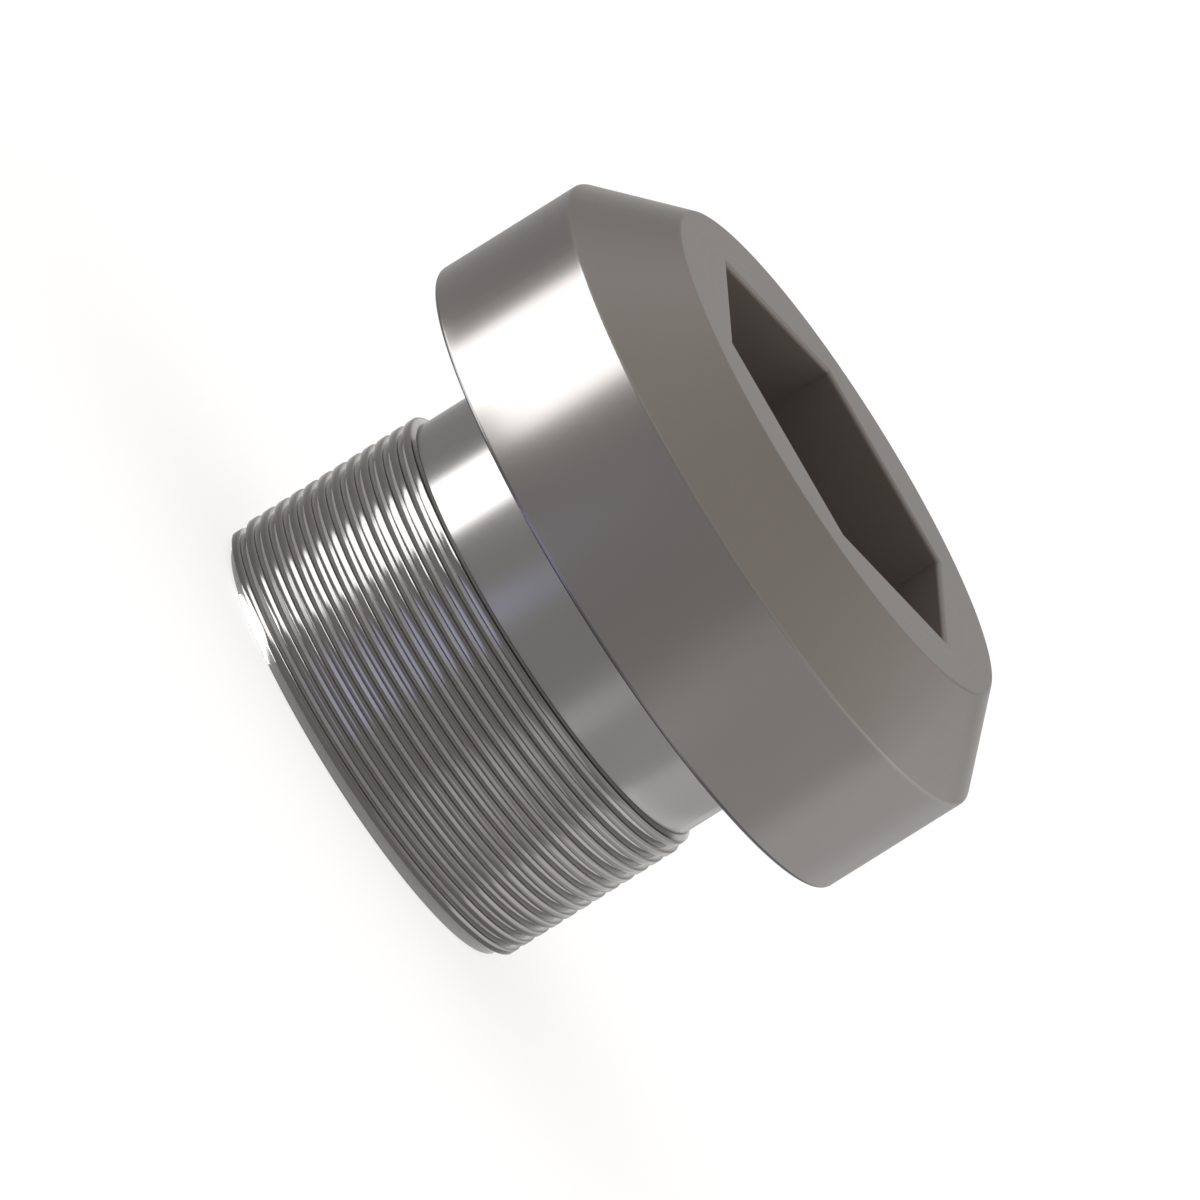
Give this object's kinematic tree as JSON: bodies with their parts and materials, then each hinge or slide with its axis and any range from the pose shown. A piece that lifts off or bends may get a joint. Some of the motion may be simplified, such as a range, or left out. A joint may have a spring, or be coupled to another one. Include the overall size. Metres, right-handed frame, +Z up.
{
  "type": "valve closure plug",
  "caption": "Turned steel screw plug with a bevelled round head, hexagon socket, plain neck and fine right-hand thread, which closes a valve body's service port.",
  "frame": {"origin": "centre of the thread end, on the axis", "axes": "+Z up the axis from the thread end to the head's face; +X points at a corner of the hexagon socket"},
  "size_m": [0.036, 0.036, 0.028],
  "materials": {
    "steel": "fine-turned and lightly polished stainless steel"
  },
  "bodies": {
    "root": {"plug_body": "steel"}
  },
  "joints": []
}
